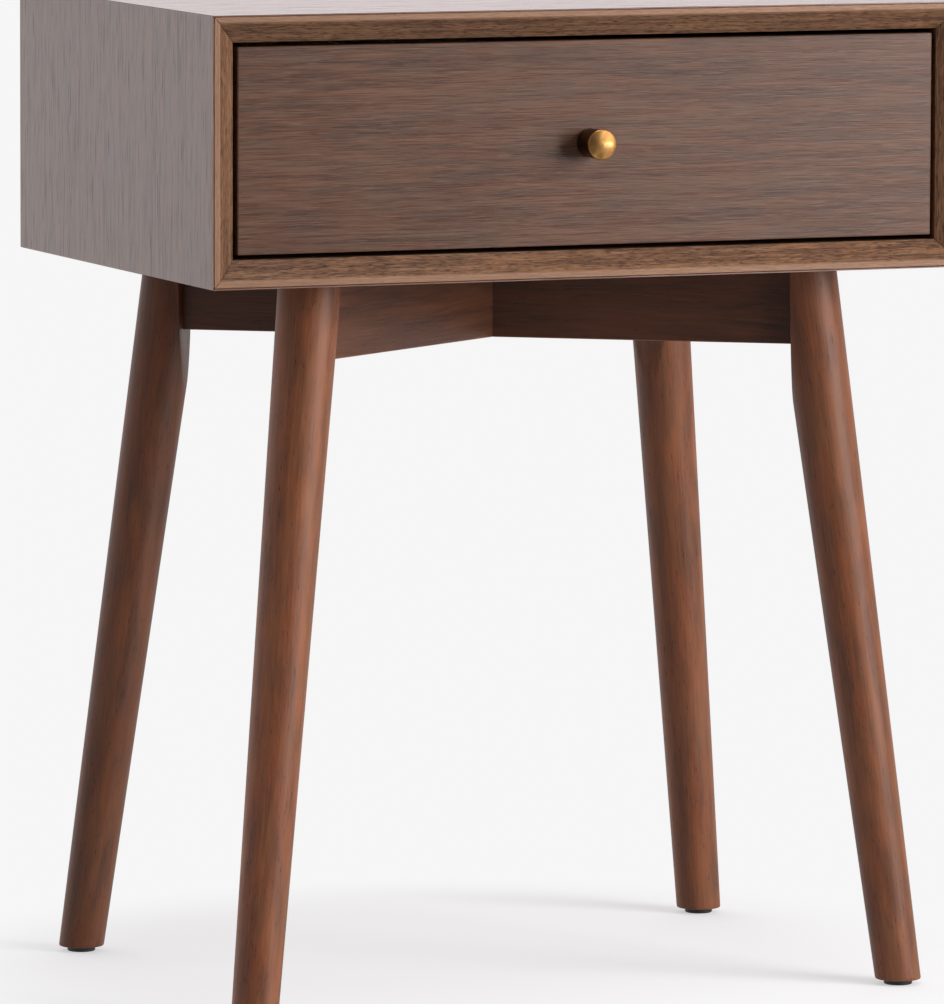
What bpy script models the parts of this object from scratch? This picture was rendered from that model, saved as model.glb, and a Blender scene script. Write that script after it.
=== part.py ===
"""Nightstand: a mitred box case with one drawer on full-extension slides, carried by two crossed rails
and four splayed round legs. Metres, +Z up, the drawer opens towards -Y, the origin is on the floor."""

import math

import bmesh
import bpy
from mathutils import Matrix, Vector

# Overall sizes
WIDTH = 0.533
DEPTH = 0.3655
HEIGHT = 0.6565
CASE_H = 0.1757

# Gap left between two pieces that touch
FIT = 0.0003
# How far a cutter runs past the face it opens
PAST = 0.002

# Case boards and the solid frame on their front edges
PANEL_T = 0.018
VENEER_T = 0.0008
FRAME_FLAT = 0.0048
FRAME_BEVEL_BACK = 0.0112
FRAME_T = 0.018
FRAME_EASE = 0.0004
BACK_T = 0.006
BACK_REBATE = 0.008

# Drawer front
FRONT_RECESS = 0.0108
FRONT_GAP = 0.0031
FRONT_T = 0.018
FRONT_EASE = 0.0009

# Drawer box, and the free space behind, over and under it
BOX_T = 0.012
BOX_BEHIND = 0.0307
BOX_LIFT = 0.012
BOX_HEADROOM = 0.0177
BOX_BOTTOM_T = 0.006
BOX_BOTTOM_UP = 0.010
GROOVE_DEPTH = 0.006

# Knob, a body of revolution: length out of the drawer front and its radii
KNOB_LENGTH = 0.0230
KNOB_BASE_R = 0.0094
KNOB_RIM_R = 0.0100
KNOB_RIM_ROUND = 0.0008
KNOB_DOME = 0.0018
KNOB_HOLE_DEPTH = 0.011
KNOB_SCREW_R = 0.002
KNOB_SCREW_HEAD_R = 0.004
KNOB_SCREW_BITE = 0.009

# Drawer slides: three nested steel channels on each side
SLIDE_T = 0.0127
SLIDE_H = 0.045
SLIDE_BEHIND_FRONT = 0.002
STEEL_T = 0.0012
TRACK_GAP = 0.0004
CASE_CHANNEL_REACH = 0.0097
MID_CHANNEL_REACH = 0.0110
SLIDE_SCREW_INSET = 0.045

# Wood screws with flush cone heads
SCREW_R = 0.0016
SCREW_HEAD_R = 0.0032
SCREW_HEAD_H = 0.0010
SLIDE_SCREW_LENGTH = 0.010
FRONT_SCREW_LENGTH = 0.025
FRONT_SCREW_IN = 0.060
FRONT_SCREW_UP = 0.022

# Crossed rails under the case
RAIL_T = 0.015
RAIL_H = 0.0528
RAIL_EASE = 0.0006

# Round tapered legs, splayed along the case's diagonals
LEG_TOP_R = 0.0208
LEG_FOOT_R = 0.01535
LEG_TOP_INSET_X = 0.0901
LEG_TOP_INSET_Y = 0.0590
LEG_FOOT_INSET_X = 0.0361
LEG_FOOT_INSET_Y = 0.0188
LEG_FLAT_IN = 0.0141

# Glides nailed under the feet
GLIDE_R = 0.0095
GLIDE_H = 0.0035
GLIDE_ROUND = 0.0008
GLIDE_PIN_R = 0.0012
GLIDE_PIN_LENGTH = 0.016
GLIDE_PIN_TIP = 0.0015

# Dowels between each rail end and its leg
DOWEL_R = 0.004
DOWEL_IN_LEG = 0.012
DOWEL_IN_RAIL = 0.018
DOWEL_LOW = 0.013
DOWEL_HIGH = 0.040

# Pan-head screws up through the rails into the case
BASE_SCREW_R = 0.002
BASE_SCREW_HEAD_R = 0.004
BASE_SCREW_HEAD_H = 0.0025
BASE_SCREW_AT = 0.110
BASE_SCREW_SUNK = 0.030
BASE_SCREW_BITE = 0.012
BASE_BORE_R = 0.0048

ROUND_STEPS = 48
SMALL_STEPS = 24
EASE_STEPS = 2

# Derived positions
KNOB_OUT = KNOB_LENGTH - FRONT_RECESS
FRONT_Y = (KNOB_OUT - DEPTH) / 2
BACK_Y = FRONT_Y + DEPTH
MID_Y = (FRONT_Y + BACK_Y) / 2
CASE_Z0 = HEIGHT - CASE_H
IN_X = WIDTH / 2 - PANEL_T
IN_Z0 = CASE_Z0 + PANEL_T
IN_Z1 = HEIGHT - PANEL_T
DRAWER_FACE_Y = FRONT_Y + FRONT_RECESS
DRAWER_REAR_Y = DRAWER_FACE_Y + FRONT_T
DRAWER_MID_Z = (IN_Z0 + IN_Z1) / 2
BOX_X = IN_X - SLIDE_T - 2 * FIT
BOX_Y0 = DRAWER_REAR_Y + FIT
BOX_Y1 = BACK_Y - BACK_T - BOX_BEHIND
BOX_Z0 = IN_Z0 + BOX_LIFT
BOX_Z1 = IN_Z1 - BOX_HEADROOM
# The slides are as long as the drawer box is deep, and let it travel by its own depth.
SLIDE_LENGTH = BOX_Y1 - DRAWER_REAR_Y
SLIDE_Y0 = DRAWER_REAR_Y + SLIDE_BEHIND_FRONT
SLIDE_MID_Z = (BOX_Z0 + BOX_Z1) / 2
RAIL_Z1 = CASE_Z0 - FIT
RAIL_Z0 = RAIL_Z1 - RAIL_H
LEG_TOP_X = WIDTH / 2 - LEG_TOP_INSET_X
LEG_TOP_Y = DEPTH / 2 - LEG_TOP_INSET_Y
LEG_FOOT_X = WIDTH / 2 - LEG_FOOT_INSET_X
LEG_FOOT_Y = DEPTH / 2 - LEG_FOOT_INSET_Y
CORNERS = {"fl": (-1, -1), "fr": (1, -1), "rl": (-1, 1), "rr": (1, 1)}
SIDES = {"left": -1, "right": 1}

COLOURS = {
    "veneer": ((0.55, 0.47, 0.43), 0.45, 0.0),
    "front_wood": ((0.26, 0.17, 0.12), 0.45, 0.0),
    "frame_wood": ((0.38, 0.24, 0.16), 0.45, 0.0),
    "leg_wood": ((0.24, 0.12, 0.07), 0.45, 0.0),
    "box_wood": ((0.66, 0.52, 0.36), 0.55, 0.0),
    "dowel_wood": ((0.70, 0.55, 0.36), 0.6, 0.0),
    "brass": ((0.62, 0.44, 0.20), 0.35, 1.0),
    "steel": ((0.55, 0.56, 0.58), 0.35, 1.0),
    "plastic": ((0.02, 0.02, 0.02), 0.5, 0.0),
}


def clear_scene():
    for obj in list(bpy.data.objects):
        bpy.data.objects.remove(obj, do_unlink=True)


def material(name, kind):
    """A Principled material of this node's own, in one of the kinds above."""
    colour, rough, metal = COLOURS[kind]
    mat = bpy.data.materials.new(name)
    mat.use_nodes = True
    shader = mat.node_tree.nodes["Principled BSDF"]
    shader.inputs["Base Color"].default_value = (*colour, 1.0)
    shader.inputs["Roughness"].default_value = rough
    shader.inputs["Metallic"].default_value = metal
    mat.diffuse_color = (*colour, 1.0)
    return mat


def add_mesh(name, bm, kind=None, origin=(0, 0, 0), smooth=False):
    """Turns a bmesh in world coordinates into an object with its origin at the given point."""
    bmesh.ops.recalc_face_normals(bm, faces=bm.faces)
    bmesh.ops.translate(bm, verts=bm.verts, vec=-Vector(origin))
    mesh = bpy.data.meshes.new(name)
    bm.to_mesh(mesh)
    bm.free()
    if smooth:
        mesh.shade_smooth()
        mesh.set_sharp_from_angle(angle=math.radians(35))
    obj = bpy.data.objects.new(name, mesh)
    obj.location = origin
    bpy.context.scene.collection.objects.link(obj)
    if kind:
        mesh.materials.append(material(name, kind))
    else:
        obj.hide_render = True
        obj.display_type = "WIRE"
    return obj


def add_box(name, low, high, kind=None, origin=(0, 0, 0), turn=None):
    """A box between two corners; turn moves it as a whole after it is built."""
    bm = bmesh.new()
    bmesh.ops.create_cube(bm, size=1.0)
    size = Vector(high) - Vector(low)
    centre = (Vector(high) + Vector(low)) / 2
    bmesh.ops.scale(bm, verts=bm.verts, vec=size)
    bmesh.ops.translate(bm, verts=bm.verts, vec=centre)
    if turn:
        bmesh.ops.transform(bm, verts=bm.verts, matrix=turn)
    return add_mesh(name, bm, kind, origin)


def loft(name, loops, kind=None, origin=(0, 0, 0), smooth=False):
    """A closed body through loops of equally many points, capped at both ends."""
    bm = bmesh.new()
    rows = [[bm.verts.new(point) for point in loop] for loop in loops]
    count = len(rows[0])
    for low, high in zip(rows, rows[1:]):
        for i in range(count):
            j = (i + 1) % count
            bm.faces.new((low[i], low[j], high[j], high[i]))
    bm.faces.new(reversed(rows[0]))
    bm.faces.new(rows[-1])
    return add_mesh(name, bm, kind, origin, smooth)


def lathe(name, profile, base, axis, kind=None, origin=(0, 0, 0), steps=SMALL_STEPS):
    """Turns (radius, height) points about the axis through base; both ends lie on the axis."""
    bm = bmesh.new()
    rows = []
    flat_start = profile[0][1] == profile[1][1]
    flat_end = profile[-1][1] == profile[-2][1]
    for radius, height in profile[flat_start:len(profile) - flat_end]:
        if radius == 0:
            rows.append([bm.verts.new((0, 0, height))])
            continue
        ring = []
        for i in range(steps):
            angle = 2 * math.pi * i / steps
            ring.append(bm.verts.new((radius * math.cos(angle), radius * math.sin(angle), height)))
        rows.append(ring)
    for low, high in zip(rows, rows[1:]):
        for i in range(steps):
            j = (i + 1) % steps
            if len(low) == 1:
                bm.faces.new((low[0], high[j], high[i]))
            elif len(high) == 1:
                bm.faces.new((low[i], low[j], high[0]))
            else:
                bm.faces.new((low[i], low[j], high[j], high[i]))
    if flat_start:
        bm.faces.new(reversed(rows[0]))
    if flat_end:
        bm.faces.new(rows[-1])
    turn = Vector((0, 0, 1)).rotation_difference(Vector(axis)).to_matrix().to_4x4()
    bmesh.ops.transform(bm, verts=bm.verts, matrix=Matrix.Translation(base) @ turn)
    return add_mesh(name, bm, kind, origin, smooth=True)


def ease(obj, width):
    """Rounds the long edges of a wooden piece a little."""
    bevel = obj.modifiers.new("ease", "BEVEL")
    bevel.width = width
    bevel.segments = EASE_STEPS
    bevel.limit_method = "ANGLE"
    bevel.angle_limit = math.radians(50)


def cut(host, cutter):
    """Takes the cutter out of the host."""
    boolean = host.modifiers.new(cutter.name, "BOOLEAN")
    boolean.operation = "DIFFERENCE"
    boolean.solver = "EXACT"
    boolean.object = cutter


def screw_profile(head_r, head_h, shank_r, length):
    """A cone head that ends flush at height 0, with the shank pointing up the axis."""
    tip = 2 * shank_r
    return [(0, 0), (head_r, 0), (shank_r, head_h + head_r - shank_r), (shank_r, length - tip), (0, length)]


def grown(profile, clearance):
    """The profile of the hole that a turned piece sits in, open past its low end."""
    out = [(0, profile[0][1] - PAST), (profile[1][0] + clearance, profile[0][1] - PAST)]
    out += [(radius + clearance, height) for radius, height in profile[1:-1]]
    out.append((profile[-2][0] + clearance, profile[-1][1] + clearance))
    out.append((0, profile[-1][1] + clearance))
    return out


def flush_screw(name, base, axis, length, hosts, head_r=SCREW_HEAD_R, shank_r=SCREW_R, kind="steel",
                origin=(0, 0, 0)):
    """A screw whose head is flush at base; its hole is cut in every host."""
    profile = screw_profile(head_r, SCREW_HEAD_H, shank_r, length)
    screw = lathe(name, profile, base, axis, kind, origin)
    hole = lathe("cut_" + name, grown(profile, FIT), base, axis)
    for host in hosts:
        cut(host, hole)
    return screw


# ---------------------------------------------------------------- case boards

clear_scene()
MITRE = FIT * math.sqrt(0.5)


def board(name, section, kind):
    """A case board: its mitred section in X and Z, run from the front to the back."""
    loops = [[(x, y, z) for x, z in section] for y in (FRONT_Y, BACK_Y)]
    return loft(name, loops, kind)


def level_board(name, outer_z, inner_z):
    outer = WIDTH / 2 - MITRE
    inner = IN_X - MITRE
    section = [(-outer, outer_z), (outer, outer_z), (inner, inner_z), (-inner, inner_z)]
    return board(name, section, "veneer")


def side_board(name, side):
    outer = side * WIDTH / 2
    inner = side * IN_X
    section = [(outer, CASE_Z0 + MITRE), (outer, HEIGHT - MITRE), (inner, IN_Z1 + MITRE), (inner, IN_Z0 - MITRE)]
    return board(name, section, "veneer")


top_panel = level_board("top_panel", HEIGHT, IN_Z1)
bottom_panel = level_board("bottom_panel", CASE_Z0, IN_Z0)
side_panels = {key: side_board("side_panel_" + key, side) for key, side in SIDES.items()}

# The boards end behind the frame, and only their outer veneer runs on over it to the front.
frame_room = add_box(
    "cut_frame_room",
    (-WIDTH / 2 + VENEER_T, FRONT_Y - PAST, CASE_Z0 + VENEER_T),
    (WIDTH / 2 - VENEER_T, FRONT_Y + FRAME_T + FIT, HEIGHT - VENEER_T),
)
for host in (top_panel, bottom_panel, *side_panels.values()):
    cut(host, frame_room)

# The back panel sits in a rebate run round the four boards.
rebate = add_box(
    "cut_back_rebate",
    (-IN_X - BACK_REBATE, BACK_Y - BACK_T - FIT, IN_Z0 - BACK_REBATE),
    (IN_X + BACK_REBATE, BACK_Y + PAST, IN_Z1 + BACK_REBATE),
)
for host in (top_panel, bottom_panel, *side_panels.values()):
    cut(host, rebate)
back_panel = add_box(
    "back_panel",
    (-IN_X - BACK_REBATE + FIT, BACK_Y - BACK_T, IN_Z0 - BACK_REBATE + FIT),
    (IN_X + BACK_REBATE - FIT, BACK_Y, IN_Z1 + BACK_REBATE - FIT),
    "veneer",
)

# ---------------------------------------------------------------- front frame

# Section of a frame strip: inward from the case's outside, back from the case's front.
STRIP_OUT = VENEER_T + FIT
STRIP = [
    (STRIP_OUT + FRAME_EASE, 0),
    (FRAME_FLAT - FRAME_EASE, 0),
    (FRAME_FLAT, FRAME_EASE / 2),
    (PANEL_T, FRAME_BEVEL_BACK),
    (PANEL_T, FRAME_T),
    (STRIP_OUT, FRAME_T),
    (STRIP_OUT, FRAME_EASE),
]


def frame_strip(name, along_x, side):
    """One mitred strip; side says which end of the other direction it is on."""
    loops = []
    for end in (-1, 1):
        loop = []
        for inward, back in STRIP:
            if along_x:
                x = end * (WIDTH / 2 - inward - MITRE)
                z = CASE_Z0 + CASE_H / 2 + side * (CASE_H / 2 - inward)
            else:
                x = side * (WIDTH / 2 - inward)
                z = CASE_Z0 + CASE_H / 2 + end * (CASE_H / 2 - inward - MITRE)
            loop.append((x, FRONT_Y + back, z))
        loops.append(loop)
    return loft(name, loops, "frame_wood")


frame_strip("frame_bottom", True, -1)
frame_strip("frame_top", True, 1)
frame_strip("frame_left", False, -1)
frame_strip("frame_right", False, 1)

# --------------------------------------------------------------------- drawer

DRAWER_ORIGIN = (0, DRAWER_FACE_Y, DRAWER_MID_Z)
drawer_front = add_box(
    "drawer_front",
    (-IN_X + FRONT_GAP, DRAWER_FACE_Y, IN_Z0 + FRONT_GAP),
    (IN_X - FRONT_GAP, DRAWER_REAR_Y, IN_Z1 - FRONT_GAP),
    "front_wood",
    DRAWER_ORIGIN,
)
ease(drawer_front, FRONT_EASE)

box_sides = {}
for key, side in SIDES.items():
    box_sides[key] = add_box(
        "drawer_box_" + key,
        (min(side * BOX_X, side * (BOX_X - BOX_T)), BOX_Y0, BOX_Z0),
        (max(side * BOX_X, side * (BOX_X - BOX_T)), BOX_Y1, BOX_Z1),
        "box_wood",
        DRAWER_ORIGIN,
    )
BETWEEN_X = BOX_X - BOX_T - FIT
box_front = add_box(
    "drawer_box_front",
    (-BETWEEN_X, BOX_Y0, BOX_Z0),
    (BETWEEN_X, BOX_Y0 + BOX_T, BOX_Z1),
    "box_wood",
    DRAWER_ORIGIN,
)
box_back = add_box(
    "drawer_box_back",
    (-BETWEEN_X, BOX_Y1 - BOX_T, BOX_Z0),
    (BETWEEN_X, BOX_Y1, BOX_Z1),
    "box_wood",
    DRAWER_ORIGIN,
)

# The drawer bottom slides into a groove in all four walls.
BOTTOM_X = BOX_X - BOX_T + GROOVE_DEPTH
BOTTOM_Y0 = BOX_Y0 + BOX_T - GROOVE_DEPTH
BOTTOM_Y1 = BOX_Y1 - BOX_T + GROOVE_DEPTH
BOTTOM_Z0 = BOX_Z0 + BOX_BOTTOM_UP
BOTTOM_Z1 = BOTTOM_Z0 + BOX_BOTTOM_T
add_box(
    "drawer_box_bottom",
    (-BOTTOM_X, BOTTOM_Y0, BOTTOM_Z0),
    (BOTTOM_X, BOTTOM_Y1, BOTTOM_Z1),
    "box_wood",
    DRAWER_ORIGIN,
)
groove = add_box(
    "cut_drawer_groove",
    (-BOTTOM_X - FIT, BOTTOM_Y0 - FIT, BOTTOM_Z0 - FIT),
    (BOTTOM_X + FIT, BOTTOM_Y1 + FIT, BOTTOM_Z1 + FIT),
)
for host in (*box_sides.values(), box_front, box_back):
    cut(host, groove)

# Four screws hold the drawer front to the box.
for number, (across, up) in enumerate(((-1, -1), (1, -1), (-1, 1), (1, 1)), 1):
    at = (
        across * (BETWEEN_X - FRONT_SCREW_IN),
        BOX_Y0 + BOX_T,
        (BOX_Z0 + BOX_Z1) / 2 + up * ((BOX_Z1 - BOX_Z0) / 2 - FRONT_SCREW_UP),
    )
    flush_screw(f"front_screw_{number}", at, (0, -1, 0), FRONT_SCREW_LENGTH, (box_front, drawer_front),
                origin=DRAWER_ORIGIN)

# Round knob with a domed face, fixed by one long screw from inside the box.
dome = []
for i in range(1, 6):
    share = 1 - i / 6
    dome.append(((KNOB_RIM_R - KNOB_RIM_ROUND) * share, KNOB_LENGTH - KNOB_DOME * share * share))
knob_profile = [
    (0, FIT + KNOB_HOLE_DEPTH),
    (KNOB_SCREW_R + FIT, FIT + KNOB_HOLE_DEPTH),
    (KNOB_SCREW_R + FIT, FIT),
    (KNOB_BASE_R, FIT),
    (KNOB_RIM_R, KNOB_LENGTH - KNOB_DOME - 3 * KNOB_RIM_ROUND),
    (KNOB_RIM_R, KNOB_LENGTH - KNOB_DOME - KNOB_RIM_ROUND),
    (KNOB_RIM_R - KNOB_RIM_ROUND * (1 - math.sqrt(0.5)), KNOB_LENGTH - KNOB_DOME - KNOB_RIM_ROUND * 0.3),
    (KNOB_RIM_R - KNOB_RIM_ROUND, KNOB_LENGTH - KNOB_DOME),
    *dome,
    (0, KNOB_LENGTH),
]
lathe("knob", knob_profile, DRAWER_ORIGIN, (0, -1, 0), "brass", DRAWER_ORIGIN, ROUND_STEPS)
knob_screw_at = (0, BOX_Y0 + BOX_T, DRAWER_MID_Z)
knob_screw_length = BOX_T + FIT + FRONT_T + KNOB_SCREW_BITE
flush_screw("knob_screw", knob_screw_at, (0, -1, 0), knob_screw_length, (box_front, drawer_front),
            KNOB_SCREW_HEAD_R, KNOB_SCREW_R, origin=DRAWER_ORIGIN)

# --------------------------------------------------------------------- slides


def channel(name, side, web, lip, half_height, kind="steel"):
    """A channel: web and lip are distances in from the case side of its web's back and its lips' ends."""
    turned = 1 if lip > web else -1
    inside = web + turned * STEEL_T
    wall = half_height - STEEL_T
    section = [
        (web, -half_height), (lip, -half_height), (lip, -wall), (inside, -wall),
        (inside, wall), (lip, wall), (lip, half_height), (web, half_height),
    ]
    loops = []
    for y in (SLIDE_Y0, SLIDE_Y0 + SLIDE_LENGTH):
        loops.append([(side * (IN_X - FIT - off), y, SLIDE_MID_Z + z) for off, z in section])
    return loft(name, loops, kind, (side * IN_X, SLIDE_Y0, SLIDE_MID_Z))


MID_WEB = STEEL_T + TRACK_GAP
DRAWER_LIP = MID_WEB + STEEL_T + TRACK_GAP
MID_HALF = SLIDE_H / 2 - STEEL_T - TRACK_GAP
DRAWER_HALF = MID_HALF - STEEL_T - TRACK_GAP
for key, side in SIDES.items():
    case_channel = channel("slide_case_" + key, side, 0, CASE_CHANNEL_REACH, SLIDE_H / 2)
    channel("slide_mid_" + key, side, MID_WEB, MID_CHANNEL_REACH, MID_HALF)
    drawer_channel = channel("slide_drawer_" + key, side, SLIDE_T, DRAWER_LIP, DRAWER_HALF)
    for end, y in enumerate((SLIDE_Y0 + SLIDE_SCREW_INSET, SLIDE_Y0 + SLIDE_LENGTH - SLIDE_SCREW_INSET), 1):
        case_at = (side * (IN_X - FIT - STEEL_T), y, SLIDE_MID_Z)
        flush_screw(f"slide_case_screw_{key}_{end}", case_at, (side, 0, 0), SLIDE_SCREW_LENGTH,
                    (case_channel, side_panels[key]))
        drawer_at = (side * (IN_X - FIT - SLIDE_T + STEEL_T), y, SLIDE_MID_Z)
        flush_screw(f"slide_drawer_screw_{key}_{end}", drawer_at, (-side, 0, 0), SLIDE_SCREW_LENGTH,
                    (drawer_channel, box_sides[key]), origin=DRAWER_ORIGIN)

# ----------------------------------------------------------------------- legs


def leg_centre(height):
    """Distances in X and Y from the middle of the case to a leg's axis at this height."""
    share = (height - GLIDE_H) / (CASE_Z0 - FIT - GLIDE_H)
    x = LEG_FOOT_X + (LEG_TOP_X - LEG_FOOT_X) * share
    y = LEG_FOOT_Y + (LEG_TOP_Y - LEG_FOOT_Y) * share
    return x, y


RAIL_X, RAIL_Y = leg_centre(RAIL_Z0)
RAIL_REACH = math.hypot(RAIL_X, RAIL_Y) - LEG_FLAT_IN
RAIL_ANGLE = math.atan2(RAIL_Y, RAIL_X)


def outward(sx, sy):
    """The level direction from the middle of the case to a corner's leg."""
    return Vector((sx * math.cos(RAIL_ANGLE), sy * math.sin(RAIL_ANGLE), 0))


def leg(name, sx, sy):
    """A tapered round leg, level at both ends, with an upright flat where its rail meets it."""
    loops = []
    for height in (GLIDE_H, CASE_Z0 - FIT):
        x, y = leg_centre(height)
        radius = LEG_FOOT_R if height == GLIDE_H else LEG_TOP_R
        ring = []
        for i in range(ROUND_STEPS):
            angle = 2 * math.pi * i / ROUND_STEPS
            ring.append((sx * x + radius * math.cos(angle), MID_Y + sy * y + radius * math.sin(angle), height))
        loops.append(ring)
    bm = bmesh.new()
    rows = [[bm.verts.new(point) for point in ring] for ring in loops]
    for i in range(ROUND_STEPS):
        j = (i + 1) % ROUND_STEPS
        bm.faces.new((rows[0][i], rows[0][j], rows[1][j], rows[1][i]))
    bm.faces.new(reversed(rows[0]))
    bm.faces.new(rows[1])
    out = outward(sx, sy)
    on_flat = Vector((0, MID_Y, 0)) + out * (RAIL_REACH + FIT)
    everything = list(bm.verts) + list(bm.edges) + list(bm.faces)
    sliced = bmesh.ops.bisect_plane(bm, geom=everything, plane_co=on_flat, plane_no=out, clear_inner=True)
    rim = [item for item in sliced["geom_cut"] if isinstance(item, bmesh.types.BMEdge)]
    bmesh.ops.edgeloop_fill(bm, edges=rim)
    return add_mesh(name, bm, "leg_wood", smooth=True)


legs = {key: leg("leg_" + key, *signs) for key, signs in CORNERS.items()}

# ---------------------------------------------------------------------- rails


def rail_box(name, direction, low_z, high_z, half_t, reach, kind=None):
    """A straight bar through the middle of the case, standing on edge."""
    turn = Matrix.Translation((0, MID_Y, 0)) @ Matrix.Rotation(direction, 4, "Z")
    return add_box(name, (-reach, -half_t, low_z), (reach, half_t, high_z), kind, turn=turn)


# rail_a runs from the rear left leg to the front right one, rail_b from the front left to the rear right.
RAIL_MID_Z = (RAIL_Z0 + RAIL_Z1) / 2
rail_a = rail_box("rail_a", -RAIL_ANGLE, RAIL_Z0, RAIL_Z1, RAIL_T / 2, RAIL_REACH, "leg_wood")
rail_b = rail_box("rail_b", RAIL_ANGLE, RAIL_Z0, RAIL_Z1, RAIL_T / 2, RAIL_REACH, "leg_wood")
NOTCH = RAIL_T / 2 + FIT
cut(rail_a, rail_box("cut_lap_a", RAIL_ANGLE, RAIL_MID_Z - FIT / 2, RAIL_Z1 + PAST, NOTCH, RAIL_REACH / 2))
cut(rail_b, rail_box("cut_lap_b", -RAIL_ANGLE, RAIL_Z0 - PAST, RAIL_MID_Z + FIT / 2, NOTCH, RAIL_REACH / 2))

for key, (sx, sy) in CORNERS.items():
    rail = rail_b if sx == sy else rail_a
    out = outward(sx, sy)

    # Two dowels join each rail end to its leg.
    for place, up in (("low", DOWEL_LOW), ("high", DOWEL_HIGH)):
        start = Vector((0, MID_Y, RAIL_Z0 + up)) + out * (RAIL_REACH - DOWEL_IN_RAIL)
        length = DOWEL_IN_RAIL + DOWEL_IN_LEG
        dowel = [(0, 0), (DOWEL_R, 0), (DOWEL_R, length), (0, length)]
        hole = [(0, -FIT), (DOWEL_R + FIT, -FIT), (DOWEL_R + FIT, length + FIT), (0, length + FIT)]
        lathe(f"dowel_{key}_{place}", dowel, start, out, "dowel_wood")
        drill = lathe(f"cut_dowel_{key}_{place}", hole, start, out)
        cut(rail, drill)
        cut(legs[key], drill)

    # One screw rises through each arm of the rails into the case, its head deep in a bore.
    seat = Vector((0, MID_Y, RAIL_Z0 + BASE_SCREW_SUNK)) + out * BASE_SCREW_AT
    rise = RAIL_H - BASE_SCREW_SUNK + FIT + BASE_SCREW_BITE
    pan = [
        (0, -BASE_SCREW_HEAD_H), (BASE_SCREW_HEAD_R * 0.7, -BASE_SCREW_HEAD_H), (BASE_SCREW_HEAD_R, -FIT * 3),
        (BASE_SCREW_HEAD_R, -FIT), (BASE_SCREW_R, -FIT), (BASE_SCREW_R, rise - BASE_SCREW_R), (0, rise),
    ]
    bore = [
        (0, -BASE_SCREW_SUNK - PAST), (BASE_BORE_R, -BASE_SCREW_SUNK - PAST), (BASE_BORE_R, 0),
        (BASE_SCREW_R + FIT, 0), (BASE_SCREW_R + FIT, rise + FIT), (0, rise + FIT),
    ]
    lathe("base_screw_" + key, pan, seat, (0, 0, 1), "steel")
    drill = lathe("cut_base_screw_" + key, bore, seat, (0, 0, 1))
    cut(rail, drill)
    cut(bottom_panel, drill)

    # A glide with its nail under each foot.
    foot = (sx * LEG_FOOT_X, MID_Y + sy * LEG_FOOT_Y, 0)
    pin_top = GLIDE_H + GLIDE_PIN_LENGTH
    glide = [
        (0, 0), (GLIDE_R - GLIDE_ROUND, 0), (GLIDE_R, GLIDE_ROUND), (GLIDE_R, GLIDE_H - FIT),
        (GLIDE_PIN_R, GLIDE_H - FIT), (GLIDE_PIN_R, pin_top - GLIDE_PIN_TIP), (0, pin_top),
    ]
    pin_hole = [
        (0, GLIDE_H - PAST), (GLIDE_PIN_R + FIT, GLIDE_H - PAST), (GLIDE_PIN_R + FIT, pin_top + FIT),
        (0, pin_top + FIT),
    ]
    lathe("glide_" + key, glide, foot, (0, 0, 1), "plastic", steps=ROUND_STEPS)
    cut(legs[key], lathe("cut_glide_" + key, pin_hole, foot, (0, 0, 1)))

for rail in (rail_a, rail_b):
    ease(rail, RAIL_EASE)
    rail.modifiers.move(len(rail.modifiers) - 1, 0)
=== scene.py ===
# %% [markdown]
# # A bedside table with one drawer
#
# This lesson dresses a finished CAD model of a small bedside table in brown-stained wood for rendering.
# The CAD gives every piece its true place and size. Here we load it, set a camera and a plain studio, and
# then work piece by piece: wood for the case, the frame and the drawer, turned legs, a brass knob and the
# fittings.

# %% Load the frame
import math

import bmesh
import bpy
from mathutils import Euler, Matrix, Vector


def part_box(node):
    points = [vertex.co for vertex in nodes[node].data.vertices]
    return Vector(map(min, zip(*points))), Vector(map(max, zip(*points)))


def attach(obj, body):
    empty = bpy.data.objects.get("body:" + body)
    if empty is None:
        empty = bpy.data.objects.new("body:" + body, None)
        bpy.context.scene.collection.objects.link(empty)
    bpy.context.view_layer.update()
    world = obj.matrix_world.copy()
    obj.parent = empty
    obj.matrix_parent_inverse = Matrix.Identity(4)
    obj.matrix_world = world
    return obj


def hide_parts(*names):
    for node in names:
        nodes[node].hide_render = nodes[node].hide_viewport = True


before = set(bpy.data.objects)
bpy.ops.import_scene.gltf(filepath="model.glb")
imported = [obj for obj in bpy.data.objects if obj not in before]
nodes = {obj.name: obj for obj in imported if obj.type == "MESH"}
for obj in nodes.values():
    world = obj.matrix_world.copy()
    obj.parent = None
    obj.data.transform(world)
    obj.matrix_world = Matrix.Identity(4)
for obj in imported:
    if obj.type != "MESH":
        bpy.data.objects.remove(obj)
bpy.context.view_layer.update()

print("pieces in the CAD model:", len(nodes))

# %% [markdown]
# ## Camera
# The table is looked at from the front, a little from its left, and from just above its top. A long lens
# far away keeps the edges of the case almost parallel, which is how furniture is usually shown. A short
# lens close by would make the near corner bulge. We place the camera with its turn, tilt and roll rather
# than with a target, so that each number has one meaning.

# %% Camera
CAMERA_AT = (-2.25796, -5.41163, 0.96787)
CAMERA_TURN = math.radians(22.527)
CAMERA_TILT = math.radians(6.3415)
CAMERA_ROLL = math.radians(0.191)
CAMERA_LENS = 315.4


def put(name, data):
    """Adds an object with this data to the scene."""
    piece = bpy.data.objects.new(name, data)
    bpy.context.scene.collection.objects.link(piece)
    return piece


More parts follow.
